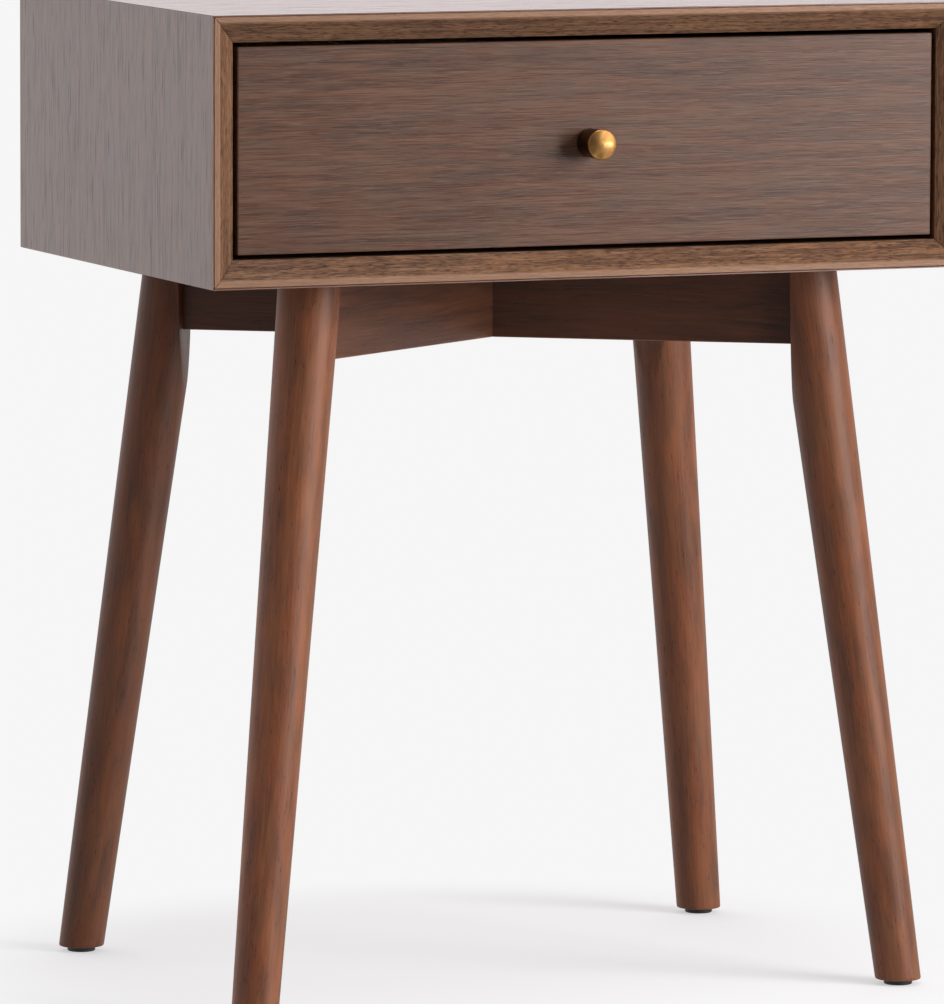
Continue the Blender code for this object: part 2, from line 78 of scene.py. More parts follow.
camera_data = bpy.data.cameras.new("camera")
camera_data.lens = CAMERA_LENS
camera_data.sensor_width = 36.0
camera_data.clip_start = 0.05
camera_data.clip_end = 200.0
camera = put("camera", camera_data)
tilt_up = math.pi / 2 - CAMERA_TILT
camera_place = Matrix.Rotation(-CAMERA_TURN, 4, "Z") @ Matrix.Rotation(tilt_up, 4, "X")
camera_place = camera_place @ Matrix.Rotation(CAMERA_ROLL, 4, "Z")
camera.matrix_world = Matrix.Translation(CAMERA_AT) @ camera_place
bpy.context.scene.camera = camera
print("camera distance from the middle of the table:", round(Vector(CAMERA_AT).length, 2), "m")

# %% [markdown]
# ## Small helpers for node trees
# Every finish below is a node tree. Writing them by hand means many lines of the same kind, so these
# helpers add a node, set its inputs and link them in one call. A value that is itself an output socket
# is linked, anything else is typed in.

# %% Node helpers


def srgb(red, green, blue):
    """A colour given as 0 to 255 on screen, as the linear numbers that shaders use."""
    out = []
    for value in (red, green, blue):
        share = value / 255
        out.append(share / 12.92 if share <= 0.04045 else ((share + 0.055) / 1.055) ** 2.4)
    return (*out, 1.0)


def add(tree, kind, inputs=None, **settings):
    """Adds a node, applies its settings, and links or types in its inputs by name or number."""
    node = tree.nodes.new(kind)
    for name, value in settings.items():
        setattr(node, name, value)
    for key, value in (inputs or {}).items():
        if isinstance(value, bpy.types.NodeSocket):
            tree.links.new(value, node.inputs[key])
        else:
            node.inputs[key].default_value = value
    return node


def math_node(tree, operation, first, second=0.0, third=0.0):
    """One step of arithmetic on one, two or three values."""
    return add(tree, "ShaderNodeMath", {0: first, 1: second, 2: third}, operation=operation).outputs[0]


def vector_node(tree, operation, first, second):
    """One step of arithmetic on two vectors."""
    return add(tree, "ShaderNodeVectorMath", {0: first, 1: second}, operation=operation).outputs[0]


def smooth_step(tree, value, low, high, to_low=0.0, to_high=1.0):
    """Turns a value between low and high into a soft ramp."""
    inputs = {0: value, 1: low, 2: high, 3: to_low, 4: to_high}
    return add(tree, "ShaderNodeMapRange", inputs, interpolation_type="SMOOTHSTEP").outputs[0]


def mix_colour(tree, factor, first, second):
    """Blends two colours."""
    return add(tree, "ShaderNodeMix", {0: factor, 6: first, 7: second}, data_type="RGBA").outputs[2]


def parts_of(tree, vector):
    """The X, Y and Z of a vector."""
    return add(tree, "ShaderNodeSeparateXYZ", {0: vector}).outputs


def combine(tree, x=0.0, y=0.0, z=0.0):
    """A vector from its X, Y and Z."""
    return add(tree, "ShaderNodeCombineXYZ", {0: x, 1: y, 2: z}).outputs[0]


def noise_node(tree, place, scale, detail):
    """Soft noise from 0 to 1."""
    return add(tree, "ShaderNodeTexNoise", {"Vector": place, "Scale": scale, "Detail": detail}).outputs[0]


def blank_material(name):
    """A material and its emptied node tree."""
    mat = bpy.data.materials.new(name)
    mat.use_nodes = True
    mat.node_tree.nodes.clear()
    return mat, mat.node_tree


print("a mid brown in linear light:", [round(part, 3) for part in srgb(97, 68, 54)[:3]])

# %% [markdown]
# ## Studio
# Three soft lamps light the table. The large one stands to the right of the front and shapes the round
# legs. The small one, higher up on the same side, puts a bright spot on the knob. The third hangs almost
# overhead and throws the short shadows at the feet. The rest of the light comes from the world: a bright
# wall behind, a dim glow from the left, the right and the ceiling, and a dark room behind the camera.
# Lacquered wood seen at a low angle mirrors the wall, which with the painted light in the case veneer is
# why the side and the top look so pale.

# %% Lamps and world
LAMPS_AIM_AT = Vector((0, 0, 0.4))


def soft_lamp(name, turn, rise, distance, size, power):
    """A square soft lamp. Turn is counted from the front towards the right, rise upwards, in degrees."""
    turn, rise = math.radians(turn), math.radians(rise)
    way = Vector((math.sin(turn) * math.cos(rise), -math.cos(turn) * math.cos(rise), math.sin(rise)))
    data = bpy.data.lights.new(name, "AREA")
    data.shape = "SQUARE"
    data.size = size
    data.energy = power
    lamp = put(name, data)
    lamp.location = LAMPS_AIM_AT + way * distance
    lamp.rotation_euler = (-way).to_track_quat("-Z", "Y").to_euler()


soft_lamp("side_softbox", turn=41, rise=13, distance=3.2, size=1.8, power=97.0)
soft_lamp("small_softbox", turn=45, rise=29, distance=2.0, size=0.35, power=5.0)
soft_lamp("top_softbox", turn=9, rise=80, distance=2.0, size=0.8, power=9.0)

WALL, ROOM, LEFT, RIGHT, CEILING = 1.30, 0.04, 0.58, 0.12, 0.42
# Where each part fades in, along Y, X, X and Z of a direction that is one unit long.
WALL_FADE, LEFT_FADE, RIGHT_FADE, CEILING_FADE = (0.15, 0.75), (-0.95, -0.50), (0.20, 0.80), (0.40, 0.90)
WALL_TINT = (1.0, 0.955, 0.98, 1.0)
FLOOR_PALE = srgb(246, 246, 246)
world = bpy.data.worlds.new("studio_world")
bpy.context.scene.world = world
world.use_nodes = True
sky = world.node_tree
sky.nodes.clear()
direction = add(sky, "ShaderNodeTexCoord").outputs["Generated"]
way_x, way_y, way_z = parts_of(sky, direction)
behind = smooth_step(sky, way_y, *WALL_FADE)
above = smooth_step(sky, way_z, *CEILING_FADE)
to_left = smooth_step(sky, way_x, *LEFT_FADE, 1.0, 0.0)
to_right = smooth_step(sky, way_x, *RIGHT_FADE)
room = ROOM
for part, strength in ((to_left, LEFT), (to_right, RIGHT), (above, CEILING)):
    room = math_node(sky, "MULTIPLY_ADD", part, strength, room)
level = add(sky, "ShaderNodeMix", {0: behind, 2: room, 3: WALL}, data_type="FLOAT").outputs[0]
seen = add(sky, "ShaderNodeLightPath").outputs["Is Camera Ray"]
light_sky = add(sky, "ShaderNodeBackground", {"Color": WALL_TINT, "Strength": level})
seen_sky = add(sky, "ShaderNodeBackground", {"Color": FLOOR_PALE, "Strength": 1.0})
both = add(sky, "ShaderNodeMixShader", {0: seen, 1: light_sky.outputs[0], 2: seen_sky.outputs[0]})
add(sky, "ShaderNodeOutputWorld", {0: both.outputs[0]})
print("wall to room:", WALL / ROOM)

# %% [markdown]
# The floor is one wide pale sheet. As a surface that lights the table it is plain grey paper. To the
# camera, and in anything shiny, it has a pale glow of its own, with a share of real light near the table
# so that shadows show, and none far away where nothing stands. Shiny things see it fade towards the
# front, because there the paper ends and the dark room begins.

# %% Floor
FLOOR_HALF = 60.0
FLOOR_GLOW, FLOOR_SHARE, FLOOR_GREY = 0.47, 0.48, 0.30
# Metres from the middle over which shadows fade out, and metres along Y over which shiny things see the
# paper fade in from its dim end.
SHADOW_FADE, PAPER_FADE, PAPER_DIM = (0.27, 0.41), (-2.0, -0.9), 0.10
floor_mesh = bpy.data.meshes.new("floor")
corners = [(-FLOOR_HALF, -FLOOR_HALF, 0), (FLOOR_HALF, -FLOOR_HALF, 0), (FLOOR_HALF, FLOOR_HALF, 0),
           (-FLOOR_HALF, FLOOR_HALF, 0)]
floor_mesh.from_pydata(corners, [], [(0, 1, 2, 3)])
floor = put("floor", floor_mesh)

paper, sheet = blank_material("studio_floor")
path = add(sheet, "ShaderNodeLightPath").outputs
clear_view = math_node(sheet, "MAXIMUM", path["Is Camera Ray"], path["Is Glossy Ray"])
clear_view = math_node(sheet, "MAXIMUM", clear_view, path["Is Transmission Ray"])
spot = add(sheet, "ShaderNodeTexCoord").outputs["Object"]
depth = parts_of(sheet, spot)[1]
paper_end = smooth_step(sheet, depth, *PAPER_FADE, PAPER_DIM, 1.0)
paper_end = math_node(sheet, "MAXIMUM", path["Is Camera Ray"], paper_end)
away = add(sheet, "ShaderNodeVectorMath", {0: spot}, operation="LENGTH").outputs["Value"]
far = smooth_step(sheet, away, *SHADOW_FADE)
lit = add(sheet, "ShaderNodeBsdfDiffuse", {"Color": (FLOOR_GREY, FLOOR_GREY, FLOOR_GREY, 1)})
share = math_node(sheet, "MULTIPLY_ADD", far, -FLOOR_SHARE, FLOOR_SHARE)
share = math_node(sheet, "MULTIPLY", share, paper_end)
grey = add(sheet, "ShaderNodeCombineColor", {0: share, 1: share, 2: share}).outputs[0]
shadow = add(sheet, "ShaderNodeBsdfDiffuse", {"Color": grey})
strength = math_node(sheet, "MULTIPLY_ADD", far, FLOOR_PALE[0] - FLOOR_GLOW, FLOOR_GLOW)
strength = math_node(sheet, "MULTIPLY", strength, paper_end)
glow = add(sheet, "ShaderNodeEmission", {"Color": (1, 1, 1, 1), "Strength": strength})
pale = add(sheet, "ShaderNodeAddShader", {0: shadow.outputs[0], 1: glow.outputs[0]})
either = add(sheet, "ShaderNodeMixShader", {0: clear_view, 1: lit.outputs[0], 2: pale.outputs[0]})
add(sheet, "ShaderNodeOutputMaterial", {0: either.outputs[0]})
floor_mesh.materials.append(paper)

bpy.context.scene.view_settings.view_transform = "Standard"
print("floor:", 2 * FLOOR_HALF, "m square")

# %% [markdown]
# ## One wood pattern for every board
# Wood has a few layers that all run along the grain: wide bands from the growth rings, fine fibres, and
# short open pores that stay darker than the rest. They could be painted on a flat picture, but a
# pattern in three dimensions has no seams and runs round corners as real timber does. So we build one
# node group that takes a position whose X runs along the grain, and gives back those layers.

# %% Wood pattern group


def group_socket(tree, name, kind, out=False, value=None):
    """Adds a named input or output to a node group."""
    socket = tree.interface.new_socket(name, in_out="OUTPUT" if out else "INPUT", socket_type=kind)
    if value is not None:
        socket.default_value = value
    return socket


def build_wood_pattern():
    """A node group: position along the grain in, layers of wood figure out."""
    tree = bpy.data.node_groups.new("wood_pattern", "ShaderNodeTree")
    group_socket(tree, "Position", "NodeSocketVector")
    sizes = {"Band Size": 0.018, "Band Length": 0.55, "Fibre Size": 0.0022, "Fibre Length": 0.09,
             "Pore Size": 0.0007, "Pore Length": 0.010, "Pore Share": 0.35, "Patch Size": 0.009,
             "Patch Length": 0.11, "Waver": 0.010}
    for name, value in sizes.items():
        group_socket(tree, name, "NodeSocketFloat", value=value)
    for name in ("Bands", "Fibres", "Lines", "Pores", "Patches"):
        group_socket(tree, name, "NodeSocketFloat", out=True)
    given = add(tree, "NodeGroupInput").outputs
    position = given["Position"]

    def noise(vector, detail, rough=0.5):
        inputs = {"Vector": vector, "Scale": 1.0, "Detail": detail, "Roughness": rough}
        return add(tree, "ShaderNodeTexNoise", inputs)

    def stretched(length, size):
        """The position counted in feature lengths along the grain and feature sizes across it."""
        return vector_node(tree, "DIVIDE", waved, combine(tree, length, size, size))

    slow = vector_node(tree, "MULTIPLY", position, (3.2, 9.0, 9.0))
    drift = vector_node(tree, "SUBTRACT", noise(slow, 3.0).outputs["Color"], (0.5, 0.5, 0.5))
    across = combine(tree, 0.0, given["Waver"], given["Waver"])
    waved = vector_node(tree, "ADD", position, vector_node(tree, "MULTIPLY", drift, across))

    bands = noise(stretched(given["Band Length"], given["Band Size"]), 3.0, 0.6).outputs[0]
    bands = smooth_step(tree, bands, 0.30, 0.70)
    fibres = noise(stretched(given["Fibre Length"], given["Fibre Size"]), 3.0, 0.6).outputs[0]
    fibres = smooth_step(tree, fibres, 0.28, 0.72)
    half_length = math_node(tree, "MULTIPLY", given["Fibre Length"], 0.6)
    half_size = math_node(tree, "MULTIPLY", given["Fibre Size"], 0.75)
    lines = noise(stretched(half_length, half_size), 1.0).outputs[0]
    lines = smooth_step(tree, lines, 0.56, 0.70)
    pores = noise(stretched(given["Pore Length"], given["Pore Size"]), 1.5).outputs[0]
    threshold = math_node(tree, "MULTIPLY_ADD", given["Pore Share"], -0.5, 0.80)
    threshold = math_node(tree, "MULTIPLY_ADD", bands, 0.07, threshold)
    pores = smooth_step(tree, math_node(tree, "SUBTRACT", pores, threshold), 0.0, 0.10)
    patches = noise(stretched(given["Patch Length"], given["Patch Size"]), 2.0).outputs[0]
    patches = smooth_step(tree, patches, 0.34, 0.66)
    add(tree, "NodeGroupOutput",
        {"Bands": bands, "Fibres": fibres, "Lines": lines, "Pores": pores, "Patches": patches})
    return tree


WOOD_PATTERN = build_wood_pattern()
pattern_sockets = WOOD_PATTERN.interface.items_tree
print("wood pattern gives:", [item.name for item in pattern_sockets if item.in_out == "OUTPUT"])

# %% [markdown]
# ## From pattern to timber
# A species and a stain differ in their colours, in how open the pores are, and in how much sheen the
# lacquer has. This function turns a handful of those choices into a finished material. The grain
# direction is set with a Mapping node, and legs bring their own position along, as an attribute. Along
# the edges of a board the stain is rubbed a little thinner, so each board also gets an edge mask. It
# comes from the board's box: on a face one distance to the box is nothing, and near an edge a second one
# is too.

# %% Timber materials
ALONG_X = (0.0, 0.0, 0.0)
ALONG_Y = (0.0, 0.0, -math.pi / 2)
ALONG_Z = (0.0, math.pi / 2, 0.0)
COAT_ROUGH, COAT_IOR, GRAIN_RELIEF = 0.22, 1.5, 0.00015
RUBBED_SHARE, PALE_FACE_SHARE, PALE_FACE_DEPTH = 0.35, 0.52, 0.0015


def edge_mask(tree, place, low, high, width):
    """1 on the edges of a box and 0 away from them, worn unevenly."""
    middle, half = (low + high) / 2, (high - low) / 2
    off = vector_node(tree, "ABSOLUTE", vector_node(tree, "SUBTRACT", place, middle), (0, 0, 0))
    room = parts_of(tree, vector_node(tree, "SUBTRACT", half, off))
    least = math_node(tree, "MINIMUM", math_node(tree, "MINIMUM", room[0], room[1]), room[2])
    most = math_node(tree, "MAXIMUM", math_node(tree, "MAXIMUM", room[0], room[1]), room[2])
    total = math_node(tree, "ADD", math_node(tree, "ADD", room[0], room[1]), room[2])
    second = math_node(tree, "SUBTRACT", math_node(tree, "SUBTRACT", total, least), most)
    uneven = noise_node(tree, place, 60.0, 3.0)
    reach = math_node(tree, "MULTIPLY", uneven, 2 * width)
    return smooth_step(tree, math_node(tree, "DIVIDE", second, reach), 0.2, 1.0, 1.0, 0.0)


def timber(name, palette, sizes, turn=ALONG_X, attribute=None, shift=(0, 0, 0), edges=None, wear=0.0012,
           rough=0.38, coat=0.35, ior=1.5, pale_front=None):
    """A satin-lacquered wood with its colours, feature sizes, grain direction and worn edges."""
    mat, tree = blank_material(name)
    if attribute:
        place = add(tree, "ShaderNodeAttribute", attribute_name=attribute).outputs["Vector"]
    else:
        place = add(tree, "ShaderNodeTexCoord").outputs["Object"]
    place = add(tree, "ShaderNodeMapping", {"Vector": place, "Rotation": turn}).outputs[0]
    pattern = add(tree, "ShaderNodeGroup", node_tree=WOOD_PATTERN)
    tree.links.new(vector_node(tree, "ADD", place, shift), pattern.inputs["Position"])
    for key, value in sizes.items():
        pattern.inputs[key].default_value = value
    layers = pattern.outputs

    ramp = add(tree, "ShaderNodeValToRGB")
    ramp.color_ramp.interpolation = "B_SPLINE"
    tone = math_node(tree, "MULTIPLY", layers["Fibres"], palette["fine"])
    tone = math_node(tree, "MULTIPLY_ADD", layers["Bands"], 1 - palette["fine"], tone)
    tree.links.new(tone, ramp.inputs[0])
    stops = ramp.color_ramp.elements
    stops[0].position, stops[0].color = 0.05, palette["dark"]
    stops[1].position, stops[1].color = 0.95, palette["light"]
    stops.new(0.5).color = palette["mid"]
    patch = mix_colour(tree, layers["Patches"], palette["cool"], palette["warm"])
    colour = mix_colour(tree, palette["patch"], ramp.outputs[0], patch)
    line_share = math_node(tree, "MULTIPLY", layers["Lines"], palette["line"])
    colour = mix_colour(tree, line_share, colour, palette["light"])
    pore_share = math_node(tree, "MULTIPLY", layers["Pores"], palette["depth"])
    colour = mix_colour(tree, pore_share, colour, palette["pore"])
    if pale_front is not None:
        depth = parts_of(tree, place)[1]
        front = smooth_step(tree, depth, pale_front, pale_front + PALE_FACE_DEPTH, PALE_FACE_SHARE, 0.0)
        colour = mix_colour(tree, front, colour, palette["pale_face"])
    if edges:
        rubbed = math_node(tree, "MULTIPLY", edge_mask(tree, place, *edges, wear), RUBBED_SHARE)
        colour = mix_colour(tree, rubbed, colour, palette["rubbed"])

    gloss = math_node(tree, "MULTIPLY_ADD", layers["Fibres"], 0.08, rough - 0.04)
    gloss = math_node(tree, "MULTIPLY_ADD", layers["Pores"], 0.20, gloss)
    height = math_node(tree, "MULTIPLY_ADD", layers["Pores"], -1.0, layers["Fibres"])
    bump = add(tree, "ShaderNodeBump", {"Strength": 0.3, "Distance": GRAIN_RELIEF, "Height": height})
    inputs = {"Base Color": colour, "Roughness": gloss, "Normal": bump.outputs[0], "IOR": ior,
              "Coat Weight": coat, "Coat Roughness": COAT_ROUGH, "Coat IOR": COAT_IOR}
    shader = add(tree, "ShaderNodeBsdfPrincipled", inputs)
    add(tree, "ShaderNodeOutputMaterial", {0: shader.outputs[0]})
    return mat


def toned(palette, tint, **changes):
    """A tinted copy of a wood, also used for painted light and shade, with any other values changed too.
    """
    other = dict(palette)
    for key, value in palette.items():
        if isinstance(value, tuple):
            other[key] = tuple(part * by for part, by in zip(value, tint)) + (1.0,)
    return {**other, **changes}


def grain_box(node_name, turn):
    """The box of a CAD piece, measured along and across its grain."""
    spin = Euler(turn).to_matrix()
    points = [spin @ v.co for v in nodes[node_name].data.vertices]
    low = Vector([min(p[axis] for p in points) for axis in range(3)])
    high = Vector([max(p[axis] for p in points) for axis in range(3)])
    return low, high


def dress_boards(palette, sizes, turns, **choices):
    """Gives each CAD board its own cut of this timber, with the grain turned its way."""
    for count, (node_name, turn) in enumerate(turns.items()):
        cut_from = (1.7 * count, 0.31 * count, 0.17 * count)
        mat = timber("wood_" + node_name, palette, sizes, turn=turn, shift=cut_from,
                     edges=grain_box(node_name, turn), **choices)
        mesh = nodes[node_name].data
        mesh.materials.clear()
        mesh.materials.append(mat)


print("grain runs up the side panel:", [round(v, 3) for v in grain_box("side_panel_left", ALONG_Z)[0]])

# %% [markdown]
# ## Case boards
# The case is board with a brown-stained oak veneer, folded round its corners with mitres. The grain of
# the sides stands upright and that of the top and bottom runs along them. The CAD pieces have the right
# shape already, so they stay and only get their finish.

# %% Case boards
VENEER = dict(
    dark=srgb(66, 46, 37),
    mid=srgb(97, 68, 54),
    light=srgb(128, 94, 76),
    warm=srgb(114, 72, 55),
    cool=srgb(78, 66, 62),
    pore=srgb(52, 31, 23),
    rubbed=srgb(131, 96, 78),
    fine=0.60,
    patch=0.34,
    line=0.6,
    depth=0.7,
)
VENEER_SIZES = {"Band Size": 0.0045, "Band Length": 0.16, "Fibre Size": 0.0010, "Fibre Length": 0.034,
                "Pore Size": 0.0009, "Pore Length": 0.030, "Pore Share": 0.56, "Patch Size": 0.0042,
                "Patch Length": 0.042, "Waver": 0.008}
# Painted light: the case boards get a copy of the veneer made lighter and redder, for the light on the
# side panel.
CASE_VENEER_PAINTED_LIGHT = toned(VENEER, (1.20, 1.04, 1.0))
CASE_TURNS = {"side_panel_left": ALONG_Z, "side_panel_right": ALONG_Z, "top_panel": ALONG_X,
              "bottom_panel": ALONG_X, "back_panel": ALONG_X}
dress_boards(CASE_VENEER_PAINTED_LIGHT, VENEER_SIZES, CASE_TURNS, coat=0.5)
print("boards dressed:", len(CASE_TURNS))

# %% [markdown]
# ## Front frame
# A strip of solid wood is glued on each front edge and cut back in a slope towards the drawer. Solid
# wood shows its pores as short dark dashes, and it is warmer and lighter than the veneer. The grain
# turns the corner at each mitre, so the level and the upright strips are turned differently. The faces
# that look straight forward are coloured paler than the slopes.

# %% Front frame
STRIP_WOOD = dict(
    dark=srgb(72, 46, 30),
    mid=srgb(116, 80, 56),
    light=srgb(156, 115, 83),
    warm=srgb(127, 84, 56),
    cool=srgb(98, 72, 54),
    pore=srgb(46, 28, 18),
    rubbed=srgb(150, 110, 82),
    pale_face=srgb(178, 136, 108),
    fine=0.6,
    patch=0.25,
    line=0.35,
    depth=0.72,
)
STRIP_SIZES = {"Band Size": 0.0036, "Band Length": 0.12, "Fibre Size": 0.0011, "Fibre Length": 0.020,
               "Pore Size": 0.0006, "Pore Length": 0.0065, "Pore Share": 0.64, "Patch Size": 0.006,
               "Patch Length": 0.05, "Waver": 0.004}
FRONT_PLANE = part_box("frame_top")[0].y
STRIP_TURNS = {"frame_top": ALONG_X, "frame_bottom": ALONG_X, "frame_left": ALONG_Z,
               "frame_right": ALONG_Z}
dress_boards(STRIP_WOOD, STRIP_SIZES, STRIP_TURNS, wear=0.0006, coat=0.0, ior=1.36,
             pale_front=FRONT_PLANE)
print("frame strips dressed:", len(STRIP_TURNS))

# %% [markdown]
# ## Drawer front
# The drawer front has the same veneer with its grain lying level. Its edges are eased by hand, where the
# stain takes less and a thin paler line shows.

# %% Drawer front
# Painted shade: the drawer front gets a copy of the veneer made a little darker, for the light on the
# front. Its grain and pores are set finer as well.
FRONT_VENEER_PAINTED_SHADE = toned(VENEER, (0.93, 0.95, 0.94), fine=0.5, patch=0.36, depth=0.38,
                     cool=srgb(88, 70, 62))
FRONT_SIZES = {**VENEER_SIZES, "Fibre Size": 0.0009, "Fibre Length": 0.028, "Pore Size": 0.0006,
               "Pore Length": 0.012, "Pore Share": 0.38, "Patch Size": 0.0075, "Patch Length": 0.06}
dress_boards(FRONT_VENEER_PAINTED_SHADE, FRONT_SIZES, {"drawer_front": ALONG_X}, wear=0.0008, rough=0.29, coat=0.0,
             ior=1.33)
front_low, front_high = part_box("drawer_front")
print("drawer front, m:", [round(b - a, 4) for a, b in zip(front_low, front_high)])

# %% [markdown]
# ## Drawer box
# Inside, the box is plain pale hardwood under clear lacquer, with its grain along each board. The dowels
# of the legs are of the same pale wood, left dull because they are glued.

# %% Drawer box
BOX_WOOD = dict(
    dark=srgb(180, 146, 106),
    mid=srgb(204, 170, 126),
    light=srgb(220, 190, 148),
    warm=srgb(206, 166, 118),
    cool=srgb(190, 164, 130),
    pore=srgb(140, 104, 68),
    rubbed=srgb(226, 200, 160),
    fine=0.4,
    patch=0.3,
    line=0.3,
    depth=0.5,
)
BOX_SIZES = {"Band Size": 0.014, "Band Length": 0.40, "Pore Share": 0.28, "Waver": 0.016}
BOX_TURNS = {"drawer_box_front": ALONG_X, "drawer_box_back": ALONG_X, "drawer_box_bottom": ALONG_X,
             "drawer_box_left": ALONG_Y, "drawer_box_right": ALONG_Y}
dress_boards(BOX_WOOD, BOX_SIZES, BOX_TURNS, rough=0.42, coat=0.2)
dowels = sorted(name for name in nodes if name.startswith("dowel_"))
dress_boards(BOX_WOOD, BOX_SIZES, dict.fromkeys(dowels, ALONG_X), rough=0.6, coat=0.0)
print("box boards and dowels dressed:", len(BOX_TURNS) + len(dowels))

# %% [markdown]
# ## Crossed rails
# Two boards stand on edge under the case and are halved into each other where they cross. They are
# solid, stained a deep red brown like the legs, with the broad dark figure that a wide solid board shows.

# %% Crossed rails
RAIL_ANGLE = math.radians(35.104)
LEG_WOOD = dict(
    dark=srgb(98, 52, 33),
    mid=srgb(127, 73, 47),
    light=srgb(151, 94, 63),
    warm=srgb(146, 80, 48),
    cool=srgb(98, 61, 44),
    pore=srgb(48, 25, 16),
    rubbed=srgb(169, 108, 74),
    fine=0.34,
    patch=0.42,
    line=0.2,
    depth=0.7,
)
RAIL_SIZES = {"Band Size": 0.022, "Band Length": 0.18, "Fibre Size": 0.0018, "Fibre Length": 0.050,
              "Pore Size": 0.0007, "Pore Length": 0.007, "Pore Share": 0.36, "Waver": 0.030}
RAIL_WOOD = {**LEG_WOOD, "dark": srgb(62, 38, 27), "mid": srgb(92, 58, 41), "light": srgb(118, 76, 54),
             "warm": srgb(100, 60, 40), "cool": srgb(72, 48, 38)}
# Painted shade and light: rail_a, whose seen face looks away from the side lamp, gets a darker copy of
# the rail wood, and rail_b a lighter one.
for wood, rail in ((toned(RAIL_WOOD, (0.86, 0.78, 0.72)), {"rail_a": (0, 0, RAIL_ANGLE)}),
                   (toned(RAIL_WOOD, (1.15, 1.06, 0.98)), {"rail_b": (0, 0, -RAIL_ANGLE)})):
    dress_boards(wood, RAIL_SIZES, rail, coat=0.05, ior=1.38)
print("rail length, m:", round(2 * grain_box("rail_a", (0, 0, RAIL_ANGLE))[1].x, 3))

# %% [markdown]
# ## Turned legs
# A leg is a long taper that leans outwards, cut level at both ends, with one upright flat where its rail
# meets it. That is a rule, so Geometry Nodes suit it: the tree below takes a plain cylinder, works out
# for each point how far up the leg it is, and moves it to the leg's axis and radius at that height. The
# flat is then cut off with a box. It could be a lathe in mesh code, but here the same tree makes all
# four legs from a few named sizes. It also stores each point's place along the leg for the wood.

# %% Leg tree


def mix_value(tree, share, low, high):
    """The value a share of the way from low to high."""
    inputs = {0: share, 2: low, 3: high}
    return add(tree, "ShaderNodeMix", inputs, data_type="FLOAT", clamp_factor=False).outputs[0]


def position_parts(tree):
    """The X, Y and Z of each point."""
    return parts_of(tree, add(tree, "GeometryNodeInputPosition").outputs[0])


def placed(tree, shape, **changes):
    """The shape scaled, turned or moved."""
    return add(tree, "GeometryNodeTransform", {"Geometry": shape, **changes}).outputs[0]


def cut_away(tree, shape, *tools):
    """The shape with these tools cut out of it."""
    cut = add(tree, "GeometryNodeMeshBoolean", operation="DIFFERENCE", solver="EXACT")
    tree.links.new(shape, cut.inputs["Mesh 1"])
    for tool in tools:
        tree.links.new(tool, cut.inputs["Mesh 2"])
    return cut.outputs["Mesh"]


def finish_tree(tree, given, shape):
    """Makes the shape real, gives it the chosen material and hands it out."""
    real = add(tree, "GeometryNodeRealizeInstances", {0: shape})
    done = add(tree, "GeometryNodeSetMaterial",
               {"Geometry": real.outputs[0], "Material": given["Material"]})
    add(tree, "NodeGroupOutput", {0: done.outputs[0]})
    return tree


